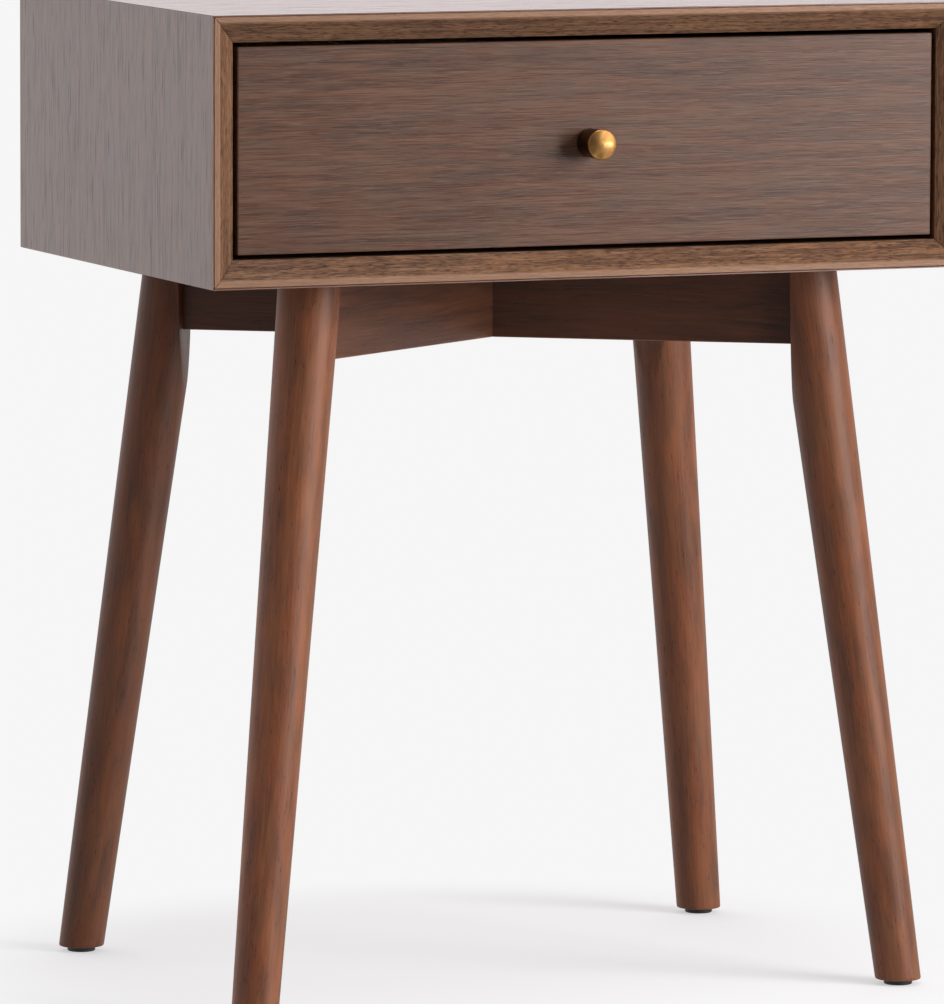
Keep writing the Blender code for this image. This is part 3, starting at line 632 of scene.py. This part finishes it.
def build_leg_tree():
    """A geometry tree: sizes of a leg in, a tapered leg with its flat out."""
    tree = bpy.data.node_groups.new("turned_leg", "GeometryNodeTree")
    sizes = {"Foot X": -0.23, "Foot Y": -0.16, "Foot Z": 0.0, "Foot Radius": 0.015, "Foot Round": 0.0012,
             "Top X": -0.18, "Top Y": -0.12, "Top Z": 0.5, "Top Radius": 0.02,
             "Flat X": 0.0, "Flat Y": 0.0, "Flat Turn": 0.0}
    for name, value in sizes.items():
        group_socket(tree, name, "NodeSocketFloat", value=value)
    group_socket(tree, "Material", "NodeSocketMaterial")
    group_socket(tree, "Geometry", "NodeSocketGeometry", out=True)
    given = add(tree, "NodeGroupInput").outputs
    rod = add(tree, "GeometryNodeMeshCylinder",
              {"Vertices": 96, "Side Segments": 64, "Fill Segments": 1, "Radius": 1.0, "Depth": 1.0})
    spot = position_parts(tree)
    # Rings crowd together near both ends, where the edge is rounded.
    level = math_node(tree, "MULTIPLY", math_node(tree, "ADD", spot[2], 0.5), math.pi)
    share = math_node(tree, "MULTIPLY_ADD", math_node(tree, "COSINE", level), -0.5, 0.5)
    length = math_node(tree, "SUBTRACT", given["Top Z"], given["Foot Z"])
    below = math_node(tree, "SUBTRACT", given["Foot Round"], math_node(tree, "MULTIPLY", share, length))
    below = math_node(tree, "DIVIDE", math_node(tree, "MAXIMUM", below, 0.0), given["Foot Round"])
    arc = math_node(tree, "SQRT", math_node(tree, "SUBTRACT", 1.0, math_node(tree, "POWER", below, 2.0)))
    pulled_in = math_node(tree, "MULTIPLY", given["Foot Round"], math_node(tree, "SUBTRACT", 1.0, arc))
    radius = mix_value(tree, share, given["Foot Radius"], given["Top Radius"])
    radius = math_node(tree, "SUBTRACT", radius, pulled_in)
    axis_x = mix_value(tree, share, given["Foot X"], given["Top X"])
    axis_y = mix_value(tree, share, given["Foot Y"], given["Top Y"])
    x = math_node(tree, "MULTIPLY_ADD", spot[0], radius, axis_x)
    y = math_node(tree, "MULTIPLY_ADD", spot[1], radius, axis_y)
    z = mix_value(tree, share, given["Foot Z"], given["Top Z"])
    shaped = add(tree, "GeometryNodeSetPosition",
                 {"Geometry": rod.outputs["Mesh"], "Position": combine(tree, x, y, z)})

    # The flat: a box with one face on the flat's plane, turned to face along the rail.
    block_size = (0.10, 0.12, 0.40)
    block = add(tree, "GeometryNodeMeshCube", {"Size": block_size}).outputs["Mesh"]
    back = placed(tree, block, Translation=(-block_size[0] / 2, 0, 0))
    flat_at = combine(tree, given["Flat X"], given["Flat Y"], given["Top Z"])
    cutter = placed(tree, back, Translation=flat_at, Rotation=combine(tree, z=given["Flat Turn"]))
    cut = cut_away(tree, shaped.outputs[0], cutter)

    # The place along and across the leg, for the grain.
    after = position_parts(tree)
    up = math_node(tree, "DIVIDE", math_node(tree, "SUBTRACT", after[2], given["Foot Z"]), length)
    off_x = math_node(tree, "SUBTRACT", after[0], mix_value(tree, up, given["Foot X"], given["Top X"]))
    off_y = math_node(tree, "SUBTRACT", after[1], mix_value(tree, up, given["Foot Y"], given["Top Y"]))
    inside = combine(tree, after[2], off_x, off_y)
    stored = add(tree, "GeometryNodeStoreNamedAttribute",
                 {"Geometry": cut, "Name": "along_leg", "Value": inside},
                 data_type="FLOAT_VECTOR", domain="POINT")
    return finish_tree(tree, given, stored.outputs[0])


def grown(name, tree, values, points=(), facing=()):
    """Runs a geometry tree with these named inputs and returns its result as a plain mesh object."""
    seed = bpy.data.meshes.new(name + "_seed")
    seed.from_pydata([tuple(point) for point in points], [], [])
    if facing:
        ways = seed.attributes.new("facing", "FLOAT_VECTOR", "POINT")
        ways.data.foreach_set("vector", [part for way in facing for part in way])
    host = put(name + "_host", seed)
    modifier = host.modifiers.new("tree", "NODES")
    modifier.node_group = tree
    for item in tree.interface.items_tree:
        if item.in_out == "INPUT" and item.name in values:
            modifier[item.identifier] = values[item.name]
    graph = bpy.context.evaluated_depsgraph_get()
    mesh = bpy.data.meshes.new_from_object(host.evaluated_get(graph), preserve_all_data_layers=True,
                                           depsgraph=graph)
    mesh.name = name
    bpy.data.objects.remove(host)
    mesh.shade_smooth()
    mesh.set_sharp_from_angle(angle=math.radians(38))
    return put(name, mesh)


LEG_TREE = build_leg_tree()
leg_sockets = LEG_TREE.interface.items_tree
print("leg tree inputs:", [item.name for item in leg_sockets if item.in_out == "INPUT"])

# %% [markdown]
# The legs stand on a rectangle at the floor and meet the case on a smaller one. Each flat faces the
# middle of the case, along its rail. Every leg is its own cut of wood, so the grain is moved for each.
# Each leg's wood is also painted lighter or darker for the light it gets: painted light on the front
# left leg, painted shade on the rear left one.

# %% Make the legs
MID_Y = (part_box("side_panel_left")[0].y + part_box("side_panel_left")[1].y) / 2
FOOT_AT, TOP_AT = (0.2304, 0.16395), (0.1764, 0.12375)
FOOT_RADIUS, TOP_RADIUS, FOOT_ROUND = 0.01535, 0.0208, 0.0010
LEG_LOW, LEG_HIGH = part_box("leg_fl")[0].z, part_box("leg_fl")[1].z
FLAT_REACH = 0.20913
CORNERS = {"fl": (-1, -1), "fr": (1, -1), "rl": (-1, 1), "rr": (1, 1)}
LEG_SIZES = {"Band Size": 0.014, "Band Length": 0.10, "Fibre Size": 0.0016, "Fibre Length": 0.040,
             "Pore Size": 0.0007, "Pore Length": 0.0070, "Pore Share": 0.38, "Patch Size": 0.009,
             "Patch Length": 0.040, "Waver": 0.008}
# Painted light and shade: how much lighter or darker each leg's wood is made for the light it gets.
LEG_PAINTED_LIGHT_AND_SHADE = {"fl": 1.20, "fr": 1.0, "rl": 0.70, "rr": 1.02}
LEG_TINT = (0.93, 1.0, 1.0)
for count, (corner, (sx, sy)) in enumerate(CORNERS.items()):
    palette = toned(LEG_WOOD, [LEG_PAINTED_LIGHT_AND_SHADE[corner] * part for part in LEG_TINT])
    cut_from = (3.1 * count, 0.2 * count, 0.1 * count)
    wood = timber("wood_leg_" + corner, palette, LEG_SIZES, attribute="along_leg", shift=cut_from,
                  rough=0.48, coat=0.0, ior=1.40)
    angle = math.atan2(sy * math.sin(RAIL_ANGLE), sx * math.cos(RAIL_ANGLE))
    sizes = {"Foot X": sx * FOOT_AT[0], "Foot Y": MID_Y + sy * FOOT_AT[1], "Foot Z": LEG_LOW,
             "Foot Radius": FOOT_RADIUS, "Foot Round": FOOT_ROUND,
             "Top X": sx * TOP_AT[0], "Top Y": MID_Y + sy * TOP_AT[1], "Top Z": LEG_HIGH,
             "Top Radius": TOP_RADIUS, "Flat X": FLAT_REACH * math.cos(angle),
             "Flat Y": MID_Y + FLAT_REACH * math.sin(angle), "Flat Turn": angle, "Material": wood}
    leg = grown("turned_leg_" + corner, LEG_TREE, sizes)
    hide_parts("leg_" + corner)
    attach(leg, "case")
    print(leg.name, "faces:", len(leg.data.polygons))

# %% [markdown]
# ## Glides
# Each foot stands on a low black glide with a rounded lower rim, held by one nail whose head sits in a
# recess underneath. The four are one instanced shape: a tree makes a glide once and puts it on every
# point it is given. The nail heads are metal, so they are a piece of their own from the same points.

# %% Glide trees


def start_tree(name, sizes):
    """A geometry tree with points coming in, these named sizes, and a material."""
    tree = bpy.data.node_groups.new(name, "GeometryNodeTree")
    group_socket(tree, "Points", "NodeSocketGeometry")
    for label, value in sizes.items():
        group_socket(tree, label, "NodeSocketFloat", value=value)
    group_socket(tree, "Material", "NodeSocketMaterial")
    group_socket(tree, "Geometry", "NodeSocketGeometry", out=True)
    return tree, add(tree, "NodeGroupInput").outputs


def end_tree(tree, given, shape, rotation=None):
    """Puts the shape on every point and finishes the tree."""
    inputs = {"Points": given["Points"], "Instance": shape}
    if rotation is not None:
        inputs["Rotation"] = rotation
    spread = add(tree, "GeometryNodeInstanceOnPoints", inputs)
    return finish_tree(tree, given, spread.outputs[0])


def cylinder(tree, radius, depth, middle, vertices=48):
    """A closed upright cylinder whose middle is at this height."""
    rod = add(tree, "GeometryNodeMeshCylinder", {"Vertices": vertices, "Radius": radius, "Depth": depth})
    return placed(tree, rod.outputs["Mesh"], Translation=combine(tree, z=middle))


def build_glide_tree():
    """A disc with a rounded lower rim and a round recess underneath, on every point."""
    tree, given = start_tree("glide", {"Radius": 0.0095, "Height": 0.0032, "Rim Round": 0.0008,
                                       "Recess Radius": 0.0042, "Recess Depth": 0.0012})
    disc = add(tree, "GeometryNodeMeshCylinder",
               {"Vertices": 64, "Side Segments": 12, "Radius": 1.0, "Depth": 1.0})
    spot = position_parts(tree)
    share = math_node(tree, "ADD", spot[2], 0.5)
    # The lower half of the rings follows a quarter circle and the rest go straight up.
    turn = math_node(tree, "MINIMUM", math_node(tree, "MULTIPLY", share, 2.0), 1.0)
    turn = math_node(tree, "MULTIPLY", turn, math.pi / 2)
    straight = math_node(tree, "MAXIMUM", math_node(tree, "MULTIPLY_ADD", share, 2.0, -1.0), 0.0)
    side = math_node(tree, "SUBTRACT", 1.0, math_node(tree, "SINE", turn))
    pulled_in = math_node(tree, "MULTIPLY", side, given["Rim Round"])
    radius = math_node(tree, "SUBTRACT", given["Radius"], pulled_in)
    rise = math_node(tree, "SUBTRACT", 1.0, math_node(tree, "COSINE", turn))
    rise = math_node(tree, "MULTIPLY", rise, given["Rim Round"])
    upper = math_node(tree, "SUBTRACT", given["Height"], given["Rim Round"])
    z = math_node(tree, "MULTIPLY_ADD", straight, upper, rise)
    x, y = (math_node(tree, "MULTIPLY", spot[axis], radius) for axis in range(2))
    shaped = add(tree, "GeometryNodeSetPosition",
                 {"Geometry": disc.outputs["Mesh"], "Position": combine(tree, x, y, z)})
    # The recess tool is centred on the lower face, so half of it cuts.
    tool_depth = math_node(tree, "MULTIPLY", given["Recess Depth"], 2.0)
    tool = cylinder(tree, given["Recess Radius"], tool_depth, 0.0)
    return end_tree(tree, given, cut_away(tree, shaped.outputs[0], tool))


def build_nail_tree():
    """A low domed nail head that looks down, on every point."""
    tree, given = start_tree("nail_head", {"Radius": 0.0032, "Dome": 0.0007, "Seat": 0.0013})
    ball = add(tree, "GeometryNodeMeshUVSphere", {"Segments": 40, "Rings": 20, "Radius": 1.0})
    size = combine(tree, given["Radius"], given["Radius"], given["Dome"])
    head = placed(tree, ball.outputs["Mesh"], Scale=size, Translation=combine(tree, z=given["Seat"]))
    return end_tree(tree, given, head)


GLIDE_TREE, NAIL_TREE = build_glide_tree(), build_nail_tree()
print("trees:", GLIDE_TREE.name, NAIL_TREE.name)

# %% [markdown]
# Two plain finishes cover the fittings: moulded plastic with a faint orange-peel texture, and steel with
# a thin zinc coat that is brushed one way and duller in patches.

# %% Fitting materials


def fitting(name, dark, light, metallic, rough, spread, stretch, relief, scale):
    """Plastic or metal: two close tones, uneven sheen and a fine texture stretched one way."""
    mat, tree = blank_material(name)
    place = add(tree, "ShaderNodeTexCoord").outputs["Object"]
    fine = noise_node(tree, vector_node(tree, "MULTIPLY", place, stretch), scale, 3.0)
    slow = smooth_step(tree, noise_node(tree, place, 90.0, 4.0), 0.3, 0.7)
    colour = mix_colour(tree, slow, dark, light)
    gloss = math_node(tree, "MULTIPLY_ADD", slow, spread, rough - spread / 2)
    gloss = math_node(tree, "MULTIPLY_ADD", fine, spread, gloss)
    bump = add(tree, "ShaderNodeBump", {"Strength": 0.25, "Distance": relief, "Height": fine})
    inputs = {"Base Color": colour, "Metallic": metallic, "Roughness": gloss, "Normal": bump.outputs[0]}
    shader = add(tree, "ShaderNodeBsdfPrincipled", inputs)
    add(tree, "ShaderNodeOutputMaterial", {0: shader.outputs[0]})
    return mat


PLASTIC = fitting("black_plastic", srgb(20, 20, 21), srgb(34, 33, 33), metallic=0.0, rough=0.5,
                  spread=0.15, stretch=(1, 1, 1), relief=0.0001, scale=2500.0)
STEEL = fitting("zinc_steel", srgb(162, 164, 167), srgb(176, 178, 180), metallic=1.0, rough=0.34,
                spread=0.08, stretch=(1, 0.02, 1), relief=0.00003, scale=3500.0)
print("finishes:", PLASTIC.name, STEEL.name)

# %% Make the glides
feet = [(sx * FOOT_AT[0], MID_Y + sy * FOOT_AT[1], 0.0) for sx, sy in CORNERS.values()]
glides = grown("foot_glides", GLIDE_TREE, {"Material": PLASTIC}, feet)
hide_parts(*("glide_" + corner for corner in CORNERS))
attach(glides, "case")
nails = grown("glide_nails", NAIL_TREE, {"Material": STEEL}, feet)
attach(nails, "case")
print("glides:", len(glides.data.polygons), "faces; nails:", len(nails.data.polygons), "faces")

# %% [markdown]
# ## Screws
# All screws come from one tree as well: a cone or pan head with a cross recess, and a shank. A point
# says where the head's face is, and an attribute says which way it faces. The drawer's screws and the
# case's are separate pieces, because they move with different bodies.

# %% Screw tree
CROSS_LENGTH, CROSS_WIDTH = 1.15, 0.26  # as shares of the head's radius


def build_screw_tree():
    """A screw with a cross recess on every point, its head turned to face the way the point says."""
    tree, given = start_tree("screw", {"Face Radius": 0.0032, "Root Radius": 0.0016, "Head Depth": 0.0026,
                                       "Shank Radius": 0.0016, "Length": 0.010})
    cone = add(tree, "GeometryNodeMeshCone",
               {"Vertices": 48, "Radius Bottom": given["Root Radius"], "Radius Top": given["Face Radius"],
                "Depth": given["Head Depth"]})
    sunk = combine(tree, z=math_node(tree, "MULTIPLY", given["Head Depth"], -1.0))
    head = placed(tree, cone.outputs["Mesh"], Translation=sunk)
    # The cross is two bars centred on the face, so it goes half as deep as the head.
    arm = math_node(tree, "MULTIPLY", given["Face Radius"], CROSS_LENGTH)
    width = math_node(tree, "MULTIPLY", given["Face Radius"], CROSS_WIDTH)
    slots = []
    for long, wide in ((arm, width), (width, arm)):
        bar_size = combine(tree, long, wide, given["Head Depth"])
        slots.append(add(tree, "GeometryNodeMeshCube", {"Size": bar_size}).outputs["Mesh"])
    cross = cut_away(tree, head, *slots)
    below = math_node(tree, "SUBTRACT", given["Length"], given["Head Depth"])
    middle = math_node(tree, "ADD", given["Length"], given["Head Depth"])
    middle = math_node(tree, "MULTIPLY", middle, -0.5)
    shank = cylinder(tree, given["Shank Radius"], below, middle, 24)
    whole = add(tree, "GeometryNodeJoinGeometry")
    tree.links.new(cross, whole.inputs[0])
    tree.links.new(shank, whole.inputs[0])
    ways = add(tree, "GeometryNodeInputNamedAttribute", {"Name": "facing"}, data_type="FLOAT_VECTOR")
    spin = add(tree, "FunctionNodeAlignRotationToVector", {"Vector": ways.outputs[0]}, axis="Z")
    return end_tree(tree, given, whole.outputs[0], spin.outputs[0])


SCREW_TREE = build_screw_tree()
FACING = {"front_screw": (0, 1, 0), "knob_screw": (0, 1, 0), "base_screw": (0, 0, -1),
          "slide_case_screw_left": (1, 0, 0), "slide_case_screw_right": (-1, 0, 0),
          "slide_drawer_screw_left": (-1, 0, 0), "slide_drawer_screw_right": (1, 0, 0)}


def face_of(node_name, way):
    """The middle of a screw's face: the middle of its box, moved to the side that it faces."""
    low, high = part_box(node_name)
    half = (high - low) / 2
    return (low + high) / 2 + Vector([half[axis] * way[axis] for axis in range(3)])


def make_screws(name, body, prefixes, sizes):
    """One piece with every screw whose CAD name starts with one of these prefixes."""
    found = [(node_name, FACING[prefix]) for prefix in prefixes for node_name in sorted(nodes)
             if node_name.startswith(prefix)]
    points = [face_of(node_name, way) for node_name, way in found]
    piece = grown(name, SCREW_TREE, {**sizes, "Material": STEEL}, points, [way for _, way in found])
    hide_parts(*(node_name for node_name, _ in found))
    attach(piece, body)
    print(name, len(found), "screws")


# %% Make the screws
make_screws("slide_drawer_screws", "drawer", ["slide_drawer_screw_left", "slide_drawer_screw_right"],
            {"Length": 0.010})
make_screws("slide_case_screws", "case", ["slide_case_screw_left", "slide_case_screw_right"],
            {"Length": 0.010})
make_screws("drawer_front_screws", "drawer", ["front_screw"], {"Length": 0.025})
make_screws("knob_fixing_screw", "drawer", ["knob_screw"],
            {"Face Radius": 0.004, "Root Radius": 0.002, "Head Depth": 0.003, "Shank Radius": 0.002,
             "Length": 0.0393})
make_screws("rail_screws", "case", ["base_screw"],
            {"Face Radius": 0.0030, "Root Radius": 0.004, "Head Depth": 0.0025, "Shank Radius": 0.002,
             "Length": 0.0376})

# %% [markdown]
# ## Slides
# The slides are folded zinc-coated steel. The rolling mill leaves fine lines along them, which is why the
# steel texture above is stretched along Y. The CAD channels are right as they are.

# %% Slides
slides = [name for name in nodes if name.startswith("slide_") and "screw" not in name]
for name in slides:
    nodes[name].data.materials.clear()
    nodes[name].data.materials.append(STEEL)
print("slide channels dressed:", len(slides))

# %% [markdown]
# ## Brass knob
# The knob is turned from a bar: a side that widens a little to a rounded rim, and a low domed face. A
# turned shape is a profile swept round an axis, so we write the profile as radius and height and make
# rings from it. The corners are arcs with enough points to catch the light smoothly.

# %% Knob shape


def arc_points(centre, radius, start, stop, count):
    """Points on an arc of the profile; angles in degrees, 0 pointing outwards."""
    out = []
    for step in range(count + 1):
        angle = math.radians(start + (stop - start) * step / count)
        out.append((centre[0] + radius * math.cos(angle), centre[1] + radius * math.sin(angle)))
    return out


def turned(name, profile, at, mat, steps=96):
    """A closed turned piece that stands out from the point at, towards the front."""
    shape = bmesh.new()
    rings = []
    for radius, height in profile:
        if radius < 1e-7:
            rings.append([shape.verts.new((at[0], at[1] - height, at[2]))])
            continue
        ring = []
        for step in range(steps):
            angle = 2 * math.pi * step / steps
            ring.append(shape.verts.new((at[0] + radius * math.cos(angle), at[1] - height,
                                         at[2] + radius * math.sin(angle))))
        rings.append(ring)
    for low, high in zip(rings, rings[1:]):
        for step in range(steps):
            after = (step + 1) % steps
            if len(low) == 1:
                shape.faces.new((low[0], high[step], high[after]))
            elif len(high) == 1:
                shape.faces.new((low[step], high[0], low[after]))
            else:
                shape.faces.new((low[step], high[step], high[after], low[after]))
    bmesh.ops.recalc_face_normals(shape, faces=shape.faces)
    mesh = bpy.data.meshes.new(name)
    shape.to_mesh(mesh)
    shape.free()
    mesh.shade_smooth()
    mesh.set_sharp_from_angle(angle=math.radians(50))
    mesh.materials.append(mat)
    return put(name, mesh)


KNOB_RIM, KNOB_BASE, KNOB_LENGTH = 0.0100, 0.0094, 0.0230
KNOB_DOME, RIM_ROUND, BASE_ROUND = 0.0018, 0.0012, 0.0004
KNOB_GAP = 0.0003  # kept free between the knob and the drawer front
DOME_RINGS = 20
face_z = KNOB_LENGTH - KNOB_DOME
profile = [(0, KNOB_GAP)]
profile += arc_points((KNOB_BASE - BASE_ROUND, KNOB_GAP + BASE_ROUND), BASE_ROUND, -90, 0, 4)
profile += arc_points((KNOB_RIM - RIM_ROUND, face_z - RIM_ROUND), RIM_ROUND, 0, 68, 8)
inner, dome_start = profile[-1]
for step in range(1, DOME_RINGS + 1):
    share = 1 - step / DOME_RINGS
    profile.append((inner * share, dome_start + (KNOB_LENGTH - dome_start) * (1 - share * share)))
print("knob profile points:", len(profile))

# %% [markdown]
# The knob's side is painted a deeper brown than its face, as painted shade with a painted reflection of
# the dark room. Unlacquered brass also darkens in soft patches where hands don't reach. The lathe
# leaves faint circles, which a noise on the distance from the axis gives.

# %% Knob brass
knob_low, knob_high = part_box("knob")
KNOB_AT = Vector(((knob_low.x + knob_high.x) / 2, knob_high.y + KNOB_GAP, (knob_low.z + knob_high.z) / 2))
SIDE_SHADE_FADE = (0.017, 0.0208)  # metres out from the drawer front over which the painted side shade fades


def brass_material(name, bright, aged, painted_side_shade):
    """Turned brass with patches of age, painted shade on its side, and fine lathe circles."""
    mat, tree = blank_material(name)
    place = add(tree, "ShaderNodeTexCoord").outputs["Object"]
    place = vector_node(tree, "SUBTRACT", place, KNOB_AT)
    parts = parts_of(tree, place)
    flat = combine(tree, parts[0], parts[2])
    radius = add(tree, "ShaderNodeVectorMath", {0: flat}, operation="LENGTH").outputs["Value"]
    patches = smooth_step(tree, noise_node(tree, place, 130.0, 3.0), 0.38, 0.66)
    colour = mix_colour(tree, patches, bright, aged)
    outward = math_node(tree, "MULTIPLY", parts[1], -1.0)
    # Painted shade: the side is darkened towards the drawer front with a painted shade colour.
    side = smooth_step(tree, outward, *SIDE_SHADE_FADE, 1.0, 0.0)
    colour = mix_colour(tree, side, colour, painted_side_shade)
    rings = noise_node(tree, combine(tree, radius, parts[1]), 3000.0, 2.0)
    gloss = math_node(tree, "MULTIPLY_ADD", patches, 0.12, 0.30)
    gloss = math_node(tree, "MULTIPLY_ADD", rings, 0.06, gloss)
    bump = add(tree, "ShaderNodeBump", {"Strength": 0.2, "Distance": 0.00004, "Height": rings})
    inputs = {"Base Color": colour, "Metallic": 1.0, "Roughness": gloss, "Normal": bump.outputs[0]}
    shader = add(tree, "ShaderNodeBsdfPrincipled", inputs)
    add(tree, "ShaderNodeOutputMaterial", {0: shader.outputs[0]})
    return mat


BRASS = brass_material("aged_brass", srgb(192, 144, 88), srgb(138, 100, 56), srgb(88, 54, 32))
knob = turned("turned_knob", profile, KNOB_AT, BRASS)
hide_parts("knob")
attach(knob, "drawer")
print("knob stands out from", round(KNOB_AT.y, 5), "by", KNOB_LENGTH)
